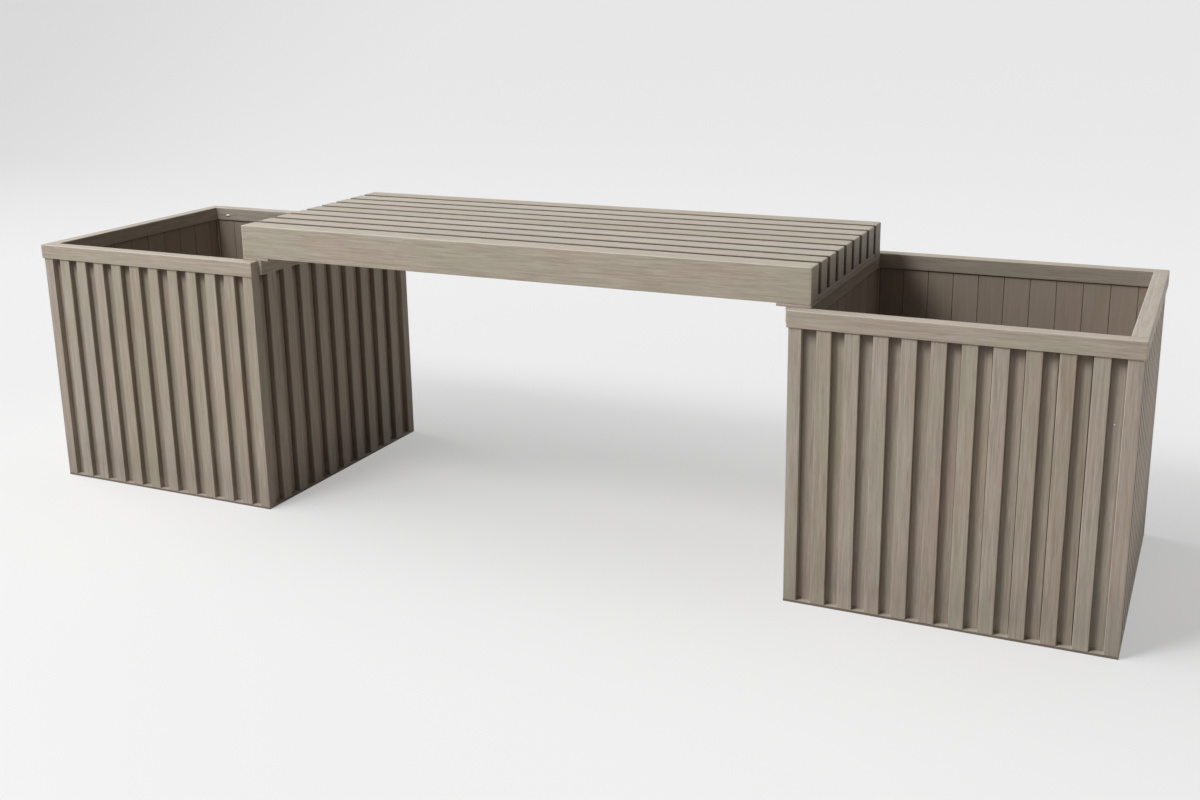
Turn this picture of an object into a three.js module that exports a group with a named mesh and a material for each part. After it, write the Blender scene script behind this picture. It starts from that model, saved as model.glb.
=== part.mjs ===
// Bench with planter: two square ribbed wooden planters joined by a slatted seat.
// Millimetres, +Z up, +X along the bench, the front faces -Y, the origin is on the ground under its middle.

import * as THREE from 'three';

// Driving dimensions of the bench as a whole
const planterWidth = 450;
const planterHeight = 420;
const clearSpan = 885;

// Rim rails
const rimHeight = 24;
const rimWidth = 21;
const rimOverhang = 2.5;

// Ribbed walls and corner posts
const postSize = 18.5;
const ribCount = 10;
const ribWidth = 19.4;
const ribDepth = 9;
const wallThickness = 16;
const ribEase = 0.8;
const jointWidth = 0.9;
const jointDepth = 2;
const insideJointWidth = 1.6;
const insideJointDepth = 1.2;

// Base frame and floor of a planter
const baseHeight = 4;
const baseWidth = 30;
const floorCount = 5;
const floorThickness = 14;
const floorGap = 6;
const floorClearance = 1;

// Seat
const seatOverhang = 8;
const seatDepth = 378;
const seatSetback = 18;
const seatHeight = 52;
const slatCount = 9;
const slatGap = 9;
const bearerLip = 4;
const slatRise = 7;
const bearerReach = 20;
const stripThickness = 6;
const stripHeight = 23;
const battenWidth = 45;
const battenSpacing = 314;

// Shared fits
const jointGap = 0.3;
const arris = 1.5;
const arrisSegments = 2;

// Heights
const wallBottom = baseHeight;
const wallTop = planterHeight - rimHeight;
const floorTop = baseHeight + floorThickness;
const seatBottom = planterHeight + bearerLip;
const slatBottom = seatBottom + slatRise;
const seatTop = seatBottom + seatHeight;

// Plan of a planter, measured from its centre
const rimHalf = planterWidth / 2;
const rimInner = rimHalf - rimWidth;
const faceHalf = rimHalf - rimOverhang;
const postLine = faceHalf - postSize;
const recessFloor = faceHalf - ribDepth;
const wallInner = faceHalf - wallThickness;
const baseInner = faceHalf - baseWidth;
const floorHalf = postLine - floorClearance;

// Plan of the bench, measured from its middle
const spanHalf = clearSpan / 2;
const planterCentre = spanHalf + rimHalf;
const seatHalf = spanHalf + rimWidth + seatOverhang;
const seatFront = seatSetback - rimHalf;
const seatBack = seatFront + seatDepth;
const slatPitch = (seatDepth + slatGap) / slatCount;
const slatWidth = slatPitch - slatGap;

const quarterTurn = Math.PI / 2;

// Maps a profile's own axes to the bench's axes for each direction that it can be drawn out in.
// The profile lies in the two axes that follow the run direction, in cyclic order.
const runAxes = {
  x: { run: 0, first: 1, second: 2 },
  y: { run: 1, first: 2, second: 0 },
  z: { run: 2, first: 0, second: 1 },
};

function prism(profile, axis, low, high) {
  const geometry = new THREE.ExtrudeGeometry(profile, {
    depth: 1,
    steps: 1,
    bevelEnabled: false,
    curveSegments: arrisSegments,
  });
  const { run, first, second } = runAxes[axis];
  const position = geometry.attributes.position;
  for (let i = 0; i < position.count; i += 1) {
    const place = [];
    place[run] = position.getZ(i) > 0 ? high : low;
    place[first] = position.getX(i);
    place[second] = position.getY(i);
    position.setXYZ(i, ...place);
  }
  geometry.computeVertexNormals();
  return geometry;
}

// A rectangle with all four corners slightly rounded, as a planed and sanded board has
function easedRectangle(lowA, highA, lowB, highB) {
  const shape = new THREE.Shape();
  shape.moveTo(lowA + arris, lowB);
  shape.absarc(highA - arris, lowB + arris, arris, -quarterTurn, 0);
  shape.absarc(highA - arris, highB - arris, arris, 0, quarterTurn);
  shape.absarc(lowA + arris, highB - arris, arris, quarterTurn, 2 * quarterTurn);
  shape.absarc(lowA + arris, lowB + arris, arris, 2 * quarterTurn, 3 * quarterTurn);
  return shape;
}

function rectangle(lowA, highA, lowB, highB) {
  return new THREE.Shape([
    new THREE.Vector2(lowA, lowB),
    new THREE.Vector2(highA, lowB),
    new THREE.Vector2(highA, highB),
    new THREE.Vector2(lowA, highB),
  ]);
}

function wood(color, roughness) {
  return new THREE.MeshStandardMaterial({ color, roughness, metalness: 0 });
}

const rimWood = () => wood(0xb3ab9c, 0.8);
const wallWood = () => wood(0x9c9283, 0.85);
const innerWood = () => wood(0x75695c, 0.88);
const seatWood = () => wood(0xbfb6a7, 0.8);
const bearerWood = () => wood(0x8a8071, 0.85);

function piece(name, geometry, material) {
  const mesh = new THREE.Mesh(geometry, material);
  mesh.name = name;
  return mesh;
}

// Front and back rim rails run the full width, and the side rails fit between them.
function rimRails(side) {
  const sideEnd = rimInner - jointGap;
  const across = (low, high) => prism(easedRectangle(low, high, wallTop, planterHeight), 'x', -rimHalf, rimHalf);
  const along = (low, high) => prism(easedRectangle(wallTop, planterHeight, low, high), 'y', -sideEnd, sideEnd);
  return [
    piece(`${side}_rim_front`, across(-rimHalf, -rimInner), rimWood()),
    piece(`${side}_rim_back`, across(rimInner, rimHalf), rimWood()),
    piece(`${side}_rim_left`, along(-rimHalf, -rimInner), rimWood()),
    piece(`${side}_rim_right`, along(rimInner, rimHalf), rimWood()),
  ];
}

function cornerPosts(side) {
  const section = (lowX, lowY) => easedRectangle(lowX, lowX + postSize, lowY, lowY + postSize);
  const corners = {
    front_left: [-faceHalf, -faceHalf],
    front_right: [postLine, -faceHalf],
    back_right: [postLine, postLine],
    back_left: [-faceHalf, postLine],
  };
  return Object.entries(corners).map(([corner, [lowX, lowY]]) =>
    piece(`${side}_post_${corner}`, prism(section(lowX, lowY), 'z', wallBottom, wallTop), wallWood()),
  );
}

// Plan of the front wall. Each board is a web with a proud rib on its right, and a narrow open joint
// lies to the left of the rib where the next board's tongue goes in. Inside, the joints are small vees.
function wallProfile() {
  const recessWidth = (2 * postLine - ribCount * ribWidth) / (ribCount + 1);
  const pitch = recessWidth + ribWidth;
  const end = postLine - jointGap;
  const ribStarts = Array.from({ length: ribCount }, (_, i) => -postLine + recessWidth + i * pitch);
  const shape = new THREE.Shape();
  shape.moveTo(-end, -recessFloor);
  for (const left of ribStarts) {
    const right = left + ribWidth;
    shape.lineTo(left - jointWidth, -recessFloor);
    shape.lineTo(left - jointWidth, jointDepth - recessFloor);
    shape.lineTo(left, jointDepth - recessFloor);
    shape.lineTo(left, ribEase - faceHalf);
    shape.lineTo(left + ribEase, -faceHalf);
    shape.lineTo(right - ribEase, -faceHalf);
    shape.lineTo(right, ribEase - faceHalf);
    shape.lineTo(right, -recessFloor);
  }
  shape.lineTo(end, -recessFloor);
  shape.lineTo(end, -wallInner);
  for (const left of ribStarts.toReversed()) {
    const middle = left - jointWidth / 2;
    shape.lineTo(middle + insideJointWidth / 2, -wallInner);
    shape.lineTo(middle, -wallInner - insideJointDepth);
    shape.lineTo(middle - insideJointWidth / 2, -wallInner);
  }
  shape.lineTo(-end, -wallInner);
  shape.closePath();
  return shape;
}

// The four walls are the same panel, turned to face each side.
function walls(side) {
  return ['front', 'right', 'back', 'left'].map((facing, turns) => {
    const wall = piece(`${side}_wall_${facing}`, prism(wallProfile(), 'z', wallBottom, wallTop), wallWood());
    wall.rotation.z = turns * quarterTurn;
    return wall;
  });
}

// The base frame's outer edges lie in the plane of the ribs, so it shows as a ledge under each recess.
function baseFrame(side) {
  const sideEnd = baseInner - jointGap;
  const slab = (lowX, highX, lowY, highY) => prism(rectangle(lowX, highX, lowY, highY), 'z', 0, baseHeight);
  return [
    piece(`${side}_base_front`, slab(-faceHalf, faceHalf, -faceHalf, -baseInner), bearerWood()),
    piece(`${side}_base_back`, slab(-faceHalf, faceHalf, baseInner, faceHalf), bearerWood()),
    piece(`${side}_base_left`, slab(-faceHalf, -baseInner, -sideEnd, sideEnd), bearerWood()),
    piece(`${side}_base_right`, slab(baseInner, faceHalf, -sideEnd, sideEnd), bearerWood()),
  ];
}

// Floor boards run from front to back on the base frame, with gaps that let water out.
function floorBoards(side) {
  const pitch = (2 * floorHalf + floorGap) / floorCount;
  return Array.from({ length: floorCount }, (_, i) => {
    const low = i * pitch - floorHalf;
    const high = low + pitch - floorGap;
    const geometry = prism(easedRectangle(baseHeight, floorTop, low, high), 'y', -floorHalf, floorHalf);
    return piece(`${side}_floor_${i + 1}`, geometry, innerWood());
  });
}

function planter(side, centreX) {
  const group = new THREE.Group();
  group.position.x = centreX;
  group.add(...rimRails(side), ...cornerPosts(side), ...walls(side), ...baseFrame(side), ...floorBoards(side));
  return group;
}

// Boards on edge. The outer two are deeper and hide the ends of the bearers' housings.
function seatBoards() {
  return Array.from({ length: slatCount }, (_, i) => {
    const low = seatFront + i * slatPitch;
    const isFront = i === 0;
    const isBack = i === slatCount - 1;
    const name = isFront ? 'seat_front' : isBack ? 'seat_back' : `slat_${i}`;
    const bottom = isFront || isBack ? seatBottom : slatBottom;
    const profile = easedRectangle(low, low + slatWidth, bottom, seatTop);
    return piece(name, prism(profile, 'x', -seatHalf, seatHalf), seatWood());
  });
}

// Side view of a bearer: full thickness under the slats, rebated to a thin lip under the outer boards
function bearerProfile() {
  const shoulder = slatWidth + jointGap;
  return new THREE.Shape([
    new THREE.Vector2(seatFront, planterHeight),
    new THREE.Vector2(seatBack, planterHeight),
    new THREE.Vector2(seatBack, seatBottom),
    new THREE.Vector2(seatBack - shoulder, seatBottom),
    new THREE.Vector2(seatBack - shoulder, slatBottom),
    new THREE.Vector2(seatFront + shoulder, slatBottom),
    new THREE.Vector2(seatFront + shoulder, seatBottom),
    new THREE.Vector2(seatFront, seatBottom),
  ]);
}

// Each bearer lies on a rim's side rail from the seat's end to a little past the rim's outer face.
function bearers() {
  const inner = spanHalf - bearerReach;
  return [
    piece('bearer_left', prism(bearerProfile(), 'x', -seatHalf, -inner), bearerWood()),
    piece('bearer_right', prism(bearerProfile(), 'x', inner, seatHalf), bearerWood()),
  ];
}

// Strips under the bearers that hang beside the rims and stop the seat from sliding along
function locatingStrips() {
  const outer = spanHalf - jointGap;
  const inner = outer - stripThickness;
  const bottom = planterHeight - stripHeight;
  const strip = (low, high) => prism(rectangle(bottom, planterHeight, low, high), 'y', seatFront, seatBack);
  return [
    piece('strip_left', strip(-outer, -inner), seatWood()),
    piece('strip_right', strip(inner, outer), seatWood()),
  ];
}

// Thin battens across the slats' undersides, between the two outer boards
function crossBattens() {
  const shoulder = slatWidth + jointGap;
  const batten = (centre) => {
    const profile = rectangle(seatBottom, slatBottom, centre - battenWidth / 2, centre + battenWidth / 2);
    return prism(profile, 'y', seatFront + shoulder, seatBack - shoulder);
  };
  return [
    piece('batten_left', batten(-battenSpacing / 2), bearerWood()),
    piece('batten_right', batten(battenSpacing / 2), bearerWood()),
  ];
}

function seat() {
  const group = new THREE.Group();
  group.add(...seatBoards(), ...bearers(), ...locatingStrips(), ...crossBattens());
  return group;
}

const bench = new THREE.Group();
bench.add(planter('left', -planterCentre), planter('right', planterCentre), seat());

export default bench;
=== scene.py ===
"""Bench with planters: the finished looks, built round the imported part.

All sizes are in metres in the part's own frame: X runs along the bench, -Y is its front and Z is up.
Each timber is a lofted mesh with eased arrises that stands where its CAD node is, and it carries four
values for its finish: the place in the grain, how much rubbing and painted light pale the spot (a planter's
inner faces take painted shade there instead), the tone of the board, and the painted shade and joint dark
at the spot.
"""

import logging
import math
import random
from collections.abc import Iterable
from dataclasses import dataclass, field
from enum import Enum

import bmesh
import bpy
from mathutils import Matrix, Vector


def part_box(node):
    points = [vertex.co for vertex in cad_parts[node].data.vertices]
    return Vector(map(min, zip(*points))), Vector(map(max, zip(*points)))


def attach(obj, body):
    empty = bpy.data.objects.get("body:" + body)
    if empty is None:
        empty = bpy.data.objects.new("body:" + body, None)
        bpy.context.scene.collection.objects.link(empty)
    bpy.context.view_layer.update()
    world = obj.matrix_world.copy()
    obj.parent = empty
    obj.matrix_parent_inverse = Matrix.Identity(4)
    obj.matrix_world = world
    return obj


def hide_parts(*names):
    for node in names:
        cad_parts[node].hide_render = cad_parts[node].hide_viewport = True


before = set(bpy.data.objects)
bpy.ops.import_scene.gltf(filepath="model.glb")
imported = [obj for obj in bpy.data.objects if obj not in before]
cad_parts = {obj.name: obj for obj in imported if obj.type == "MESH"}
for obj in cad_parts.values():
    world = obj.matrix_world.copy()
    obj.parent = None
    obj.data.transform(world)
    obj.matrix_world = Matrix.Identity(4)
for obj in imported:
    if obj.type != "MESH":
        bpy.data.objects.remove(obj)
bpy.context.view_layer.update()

IMAGE_WIDTH, IMAGE_HEIGHT = 1200, 800
MM = 0.001
# The only body of the part, which every piece rides on
ROOT_BODY = "root"
# The mark of a wall's inner face, which takes a painted shade: browner and darker than the outside
INSIDE_SHADE = -1.0
# How far in from both faces the middle of an eased end's turn lies, as a share of the ease
TURN_MIDDLE = 0.29
# Edges steeper than this shade as creases, on a timber and on the head of a fastener
TIMBER_CREASE = math.radians(40)
HEAD_CREASE = math.radians(50)
# How far each rib of a planter's front stands from its even place, in millimetres
FRONT_SHIFTS = {
    "left": (-2, -4, -4, -4, -3, -2, 0, 0, 1, 1),
    "right": (2, 1, 0, -2, -3, -3, -3, -2, -1, 0),
}

log = logging.getLogger("bench_with_planters")

Socket = bpy.types.NodeSocket
Material = bpy.types.Material
Piece = bpy.types.Object
Colour = tuple[float, float, float]
Triple = tuple[float, float, float]
# What goes into a node's inputs, by their names or numbers
Inputs = dict[str | int, object]
# Where a noise starts to show, where it shows fully, and the share that it then has
Fade = tuple[float, float, float]
Pair = tuple[float, float]
# A point of a section: across, deep, rubbing with painted light, and painted shade with joint dark
SectionPoint = tuple[float, float, float, float]
# The points of a ring: along, across, deep, rubbing with painted light, and painted shade with joint dark
Ring = list[tuple[float, float, float, float, float]]


class Axis(Enum):
    """The three directions of the part's frame."""

    X = 0
    Y = 1
    Z = 2


class Side(Enum):
    """The four faces of a planter, each with its way along the wall and its way outwards."""

    FRONT = ("front", (1, 0), (0, -1))
    RIGHT = ("right", (0, 1), (1, 0))
    BACK = ("back", (-1, 0), (0, 1))
    LEFT = ("left", (0, -1), (-1, 0))

    @property
    def label(self) -> str:
        """The face's name as the CAD nodes have it."""
        return self.value[0]

    @property
    def along(self) -> Vector:
        """The way from left to right along the wall, as seen from outside."""
        return Vector((*self.value[1], 0))

    @property
    def is_end(self) -> bool:
        """Whether the wall faces along the bench."""
        return self in (Side.LEFT, Side.RIGHT)

    @property
    def outward(self) -> Vector:
        """The way out of the planter through this wall."""
        return Vector((*self.value[2], 0))


class Slot(Enum):
    """The record's material slots."""

    SEAT = "seat_wood"
    RIM = "rim_wood"
    WALL = "wall_wood"
    INNER = "inner_wood"
    BEARER = "bearer_wood"


Finishes = dict[Slot, Material]


class Wiring:
    """Adds nodes to a material's tree and joins them, so that a finish reads as a list of steps."""

    def __init__(self, tree: bpy.types.NodeTree) -> None:
        """Keeps the tree and clears it."""
        self.tree = tree
        tree.nodes.clear()

    def put(self, socket: Socket, value: object) -> None:
        """Sets a socket to a constant, or links an output to it.

        Args:
            socket: The input to fill.
            value: A number, a tuple, or another node's output.
        """
        if isinstance(value, Socket):
            self.tree.links.new(value, socket)
        else:
            socket.default_value = value

    def node(self, kind: str, inputs: Inputs | None = None, **settings: object) -> bpy.types.Node:
        """Adds a node.

        Args:
            kind: Blender's type name of the node, after the words that all of them start with.
            inputs: What goes into its inputs.
            settings: Properties to set on it.

        Returns:
            The new node.
        """
        made = self.tree.nodes.new(f"ShaderNode{kind}")
        for name, value in settings.items():
            setattr(made, name, value)
        for key, value in (inputs or {}).items():
            self.put(made.inputs[key], value)
        return made

    def attribute(self, name: str, output: str = "Fac") -> Socket:
        """One of the values that a timber's mesh carries."""
        return self.node("Attribute", attribute_name=name).outputs[output]

    def stretched(self, vector: object, scale: Triple) -> Socket:
        """Scales a coordinate by a different amount in each direction."""
        return self.node("VectorMath", {0: vector, 1: scale}, operation="MULTIPLY").outputs[0]

    def noise(self, vector: object, detail: float, rough: float, bend: float = 0.0) -> Socket:
        """A noise of unit scale, from 0 to 1: its octaves, the share of the finer ones, and its bends."""
        inputs = {"Vector": vector, "Scale": 1.0, "Detail": detail, "Roughness": rough, "Distortion": bend}
        return self.node("TexNoise", inputs, noise_dimensions="3D").outputs["Fac"]

    def math(self, operation: str, *values: object) -> Socket:
        """The result of one of Blender's sums, by its name there, on one to three values."""
        return self.node("Math", dict(enumerate(values)), operation=operation).outputs[0]

    def span(self, value: object, low: float, high: float, bottom: float = 0.0, top: float = 1.0) -> Socket:
        """Maps the range from low to high smoothly onto bottom to top, and holds it there."""
        inputs = {"Value": value, "From Min": low, "From Max": high, "To Min": bottom, "To Max": top}
        return self.node("MapRange", inputs, interpolation_type="SMOOTHSTEP").outputs["Result"]

    def mix(self, share: object, first: object, second: object) -> Socket:
        """Mixes two colours, with a share of the second from 0 to 1."""
        pair = {i: (*c, 1.0) if isinstance(c, tuple) else c for i, c in ((6, first), (7, second))}
        return self.node("Mix", {"Factor": share, **pair}, data_type="RGBA").outputs[2]

    def tint(self, value: object, fade: Fade, colour: object, tint: Colour) -> Socket:
        """Lays a second colour over the first where a noise shows, as the fade says."""
        start, end, share = fade
        return self.mix(self.span(value, start, end, 0.0, share), colour, tint)

    def bump(self, height: object, strength: float, distance: float) -> Socket:
        """The normal of a relief: its height from 0 to 1, the share that shows, and the depth of 1."""
        inputs = {"Strength": strength, "Distance": distance, "Height": height}
        return self.node("Bump", inputs).outputs["Normal"]

    def surface(self, shader: bpy.types.Node, kind: str = "Material") -> None:
        """Joins a shader to the output of its material or world."""
        self.node(f"Output{kind}", {"Surface": shader.outputs[0]})


def new_material(name: str) -> tuple[Material, Wiring]:
    """Makes an empty node material.

    Args:
        name: Its name.

    Returns:
        The material and the wiring of its tree.
    """
    made = bpy.data.materials.new(name)
    made.use_nodes = True
    return made, Wiring(made.node_tree)


def placed(name: str, data: bpy.types.ID) -> Piece:
    """Makes an object of its data and puts it in the scene.

    Args:
        name: The object's name.
        data: Its mesh, lamp or camera.

    Returns:
        The object.
    """
    made = bpy.data.objects.new(name, data)
    bpy.context.scene.collection.objects.link(made)
    return made


@dataclass(frozen=True)
class Figure:
    """One layer of the wood's figure: a noise that is drawn out along the grain."""

    along: float
    across: float
    detail: float
    rough: float = 0.5
    bend: float = 0.0

    def read(self, w: Wiring, place: Socket) -> Socket:
        """The noise at a place in the grain, from 0 to 1."""
        stretched = w.stretched(place, (self.along, self.across, self.across))
        return w.noise(stretched, self.detail, self.rough, self.bend)


@dataclass(frozen=True)
class WoodFinish:
    """A greyed hardwood under a thin taupe stain: fine fibres, soft bands, and arrises paled by rubbing and a
    painted highlight.
    """

    name: str
    body: Colour = (0.392, 0.341, 0.281)
    streak: Colour = (0.288, 0.244, 0.194)
    silver: Colour = (0.478, 0.433, 0.372)
    blush: Colour = (0.420, 0.324, 0.270)
    lichen: Colour = (0.352, 0.346, 0.262)
    pore: Colour = (0.190, 0.155, 0.120)
    # Paler arrises: partly from rubbing, partly a painted highlight
    rubbed: Colour = (0.480, 0.429, 0.366)
    # The dark of the painted shade, and of the joints
    soiled: Colour = (0.086, 0.056, 0.043)
    # The painted shade of a planter's inner faces, browner and darker than the outside
    sheltered: Colour = (0.352, 0.280, 0.224)
    value: float = 1.0
    roughness: float = 0.58
    shelter_share: float = 0.65
    band_share: float = 0.45
    ring_share: float = 0.2
    rub_share: float = 0.7
    drift: Figure = Figure(3.0, 14.0, 2.0)
    bands: Figure = Figure(4.5, 130.0, 3.0, 0.55, 0.3)
    fibres: Figure = Figure(14.0, 520.0, 3.0, 0.6, 0.3)
    streaks: Figure = Figure(15.0, 280.0, 3.0, 0.62, 0.6)
    pores: Figure = Figure(48.0, 1500.0, 1.0)
    broad_clouds: Figure = Figure(6.0, 26.0, 3.0, 0.55, 0.5)
    thin_clouds: Figure = Figure(11.0, 240.0, 2.0)
    band_span: Pair = (0.3, 0.62)
    dark_streaks: Fade = (0.5, 0.34, 0.72)
    pale_streaks: Fade = (0.5, 0.66, 0.66)
    pale_fibres: Fade = (0.46, 0.74, 0.6)
    dark_pores: Fade = (0.6, 0.74, 0.32)
    broad_blush: Fade = (0.48, 0.66, 0.36)
    broad_lichen: Fade = (0.52, 0.34, 0.42)
    thin_blush: Fade = (0.54, 0.7, 0.27)
    # How the grain breaks up the rubbing and the painted highlight on the arrises
    rub_bands: float = 0.6
    rub_fibres: float = 0.5
    rub_middle: float = 0.55
    rub_span: Pair = (0.35, 1.0)
    fibre_span: Pair = (0.3, 0.75)
    fibre_roughness: float = 0.16
    polish: float = 0.08
    band_relief: float = 0.5
    pore_relief: float = -0.4
    fibre_relief: float = 0.6
    ring_relief: float = -0.2
    relief_share: float = 0.55
    relief_depth: float = 0.26 * MM
    ring_wander: Pair = (16 * MM, 9 * MM)
    ring_draw: float = 0.05
    ring_scale: float = 62.0
    ring_span: Pair = (0.45, 1.0)
    tone_value: float = 0.055
    tone_saturation: float = -0.08
    hue_spread: float = 7.3
    hue_range: Pair = (0.491, 0.018)

    def build(self) -> Material:
        """Makes the material.

        Returns:
            The node material.
        """
        made, w = new_material(self.name)
        place, wear = w.attribute("grain", "Vector"), w.attribute("wear")
        layers = (self.drift, self.bands, self.fibres, self.streaks, self.pores)
        drift, bands, fibres, streaks, pores = (layer.read(w, place) for layer in layers)
        rings = self.rings(w, place, drift)
        colour = w.mix(w.span(bands, *self.band_span, self.band_share, 0.0), self.body, self.streak)
        colour = w.tint(streaks, self.dark_streaks, colour, self.streak)
        colour = w.tint(streaks, self.pale_streaks, colour, self.silver)
        colour = w.tint(fibres, self.pale_fibres, colour, self.silver)
        colour = w.mix(w.math("MULTIPLY", rings, self.ring_share), colour, self.streak)
        colour = self.clouded(w, place, colour)
        colour = w.tint(pores, self.dark_pores, colour, self.pore)
        # Painted shade: a planter's inner faces go browner and darker
        colour = w.tint(wear, (0.0, INSIDE_SHADE, self.shelter_share), colour, self.sheltered)
        # The arrises paled by rubbing and by a painted highlight, and the upper faces in painted light
        rub_and_highlight_noise = w.math("MULTIPLY_ADD", bands, self.rub_bands, w.math("MULTIPLY", fibres, self.rub_fibres))
        worn_and_lit = w.math("ADD", wear, w.math("SUBTRACT", rub_and_highlight_noise, self.rub_middle))
        rubbed = w.span(worn_and_lit, *self.rub_span, 0.0, self.rub_share)
        colour = self.toned(w, w.mix(rubbed, colour, self.rubbed))
        coarse = w.span(fibres, *self.fibre_span)
        rough = w.math("MULTIPLY_ADD", coarse, self.fibre_roughness, self.roughness - self.polish)
        relief = w.math("MULTIPLY", pores, self.pore_relief)
        shares = (self.band_relief, self.ring_relief, self.fibre_relief)
        for layer, share in zip((bands, rings, fibres), shares):
            relief = w.math("MULTIPLY_ADD", layer, share, relief)
        w.surface(w.node("BsdfPrincipled", {
            # The painted shade, which also darkens the joints, is mixed in last
            "Base Color": w.mix(w.attribute("soil"), colour, self.soiled),
            "Roughness": w.math("SUBTRACT", rough, w.math("MULTIPLY", rubbed, self.polish)),
            "Normal": w.bump(relief, self.relief_share, self.relief_depth),
        }))
        return made

    def clouded(self, w: Wiring, place: Socket, colour: Socket) -> Socket:
        """Lays soft pinkish and greenish clouds over the stain, long ones with the grain.

        Args:
            w: The wiring to add to.
            place: The place in the grain.
            colour: The colour so far.

        Returns:
            The clouded colour.
        """
        broad, thin = (layer.read(w, place) for layer in (self.broad_clouds, self.thin_clouds))
        colour = w.tint(broad, self.broad_blush, colour, self.blush)
        colour = w.tint(broad, self.broad_lichen, colour, self.lichen)
        return w.tint(thin, self.thin_blush, colour, self.blush)

    def rings(self, w: Wiring, place: Socket, drift: Socket) -> Socket:
        """The growth rings round the tree's heart, which lies along the grain and wanders a little.

        Args:
            w: The wiring to add to.
            place: The place in the grain.
            drift: A slow noise that bends the rings.

        Returns:
            How dark the ring is at the spot, from 0 to 1.
        """
        sway = w.math("SUBTRACT", drift, 0.5)
        shift = w.node("CombineXYZ", {a: w.math("MULTIPLY", sway, d) for a, d in zip("YZ", self.ring_wander)})
        drawn = w.stretched(place, (self.ring_draw, 1.0, 1.0))
        moved = w.node("VectorMath", {0: drawn, 1: shift.outputs[0]}, operation="ADD").outputs[0]
        bend = {"Distortion": 2.2, "Detail": 2.0, "Detail Scale": 1.4, "Detail Roughness": 0.55}
        inputs = {"Vector": moved, "Scale": self.ring_scale, **bend}
        wave = w.node("TexWave", inputs, wave_type="RINGS", rings_direction="X", wave_profile="SAW")
        return w.span(wave.outputs["Fac"], *self.ring_span)

    def toned(self, w: Wiring, colour: Socket) -> Socket:
        """Makes each board a little darker or paler, and greyer or warmer, than its neighbours.

        Args:
            w: The wiring to add to.
            colour: The colour so far.

        Returns:
            The toned colour.
        """
        tone, (hue, spread) = w.attribute("tone"), self.hue_range
        turn = w.math("FRACT", w.math("MULTIPLY", tone, self.hue_spread))
        return w.node("HueSaturation", {
            "Color": colour,
            "Hue": w.math("MULTIPLY_ADD", turn, spread, hue),
            "Value": w.math("MULTIPLY_ADD", tone, self.tone_value, self.value),
            "Saturation": w.math("MULTIPLY_ADD", tone, self.tone_saturation, 1.0),
        }).outputs["Color"]


@dataclass(frozen=True)
class SteelFinish:
    """Bright zinc plating with a fine tumbled surface."""

    name: str = "zinc_plated_steel"
    body: Colour = (0.78, 0.78, 0.76)
    dull: Colour = (0.52, 0.52, 0.51)
    grit_scale: float = 2600.0
    grit_share: float = 0.2
    grit_depth: float = 0.05 * MM
    grit_noise: Pair = (3.0, 0.6)
    cloud_scale: float = 420.0
    cloud_noise: Pair = (2.0, 0.5)
    cloud_span: Pair = (0.4, 0.65)
    roughness: float = 0.22

    def build(self) -> Material:
        """Makes the material.

        Returns:
            The node material.
        """
        made, w = new_material(self.name)
        place = w.node("TexCoord").outputs["Object"]
        grit = w.noise(w.stretched(place, (self.grit_scale,) * 3), *self.grit_noise)
        cloud = w.noise(w.stretched(place, (self.cloud_scale,) * 3), *self.cloud_noise)
        w.surface(w.node("BsdfPrincipled", {
            "Base Color": w.mix(w.span(cloud, *self.cloud_span), self.body, self.dull),
            "Metallic": 1.0,
            "Roughness": w.math("MULTIPLY_ADD", grit, self.grit_share, self.roughness),
            "Normal": w.bump(grit, self.grit_share, self.grit_depth),
        }))
        return made


@dataclass(frozen=True)
class Seating:
    """Where a timber lies: its middle, and the ways along, across and through it."""

    middle: Vector
    along: Vector
    across: Vector
    deep: Vector

    def point(self, along: float, across: float, deep: float) -> Vector:
        """The place in the part's frame of a point given in the timber's own directions."""
        return self.middle + self.along * along + self.across * across + self.deep * deep


def tube_faces(start: int, rows: int, count: int) -> list[list[int]]:
    """The faces of a closed tube through rings of points, with a flat face at each end.

    Args:
        start: The number of its first point.
        rows: How many rings it has.
        count: How many points each ring has.

    Returns:
        The faces.
    """
    faces = []
    for low in range(start, start + (rows - 1) * count, count):
        for i in range(count):
            j = (i + 1) % count
            faces.append([low + i, low + j, low + count + j, low + count + i])
    last = start + (rows - 1) * count
    return [*faces, [*reversed(range(start, start + count))], [*range(last, last + count)]]


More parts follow.
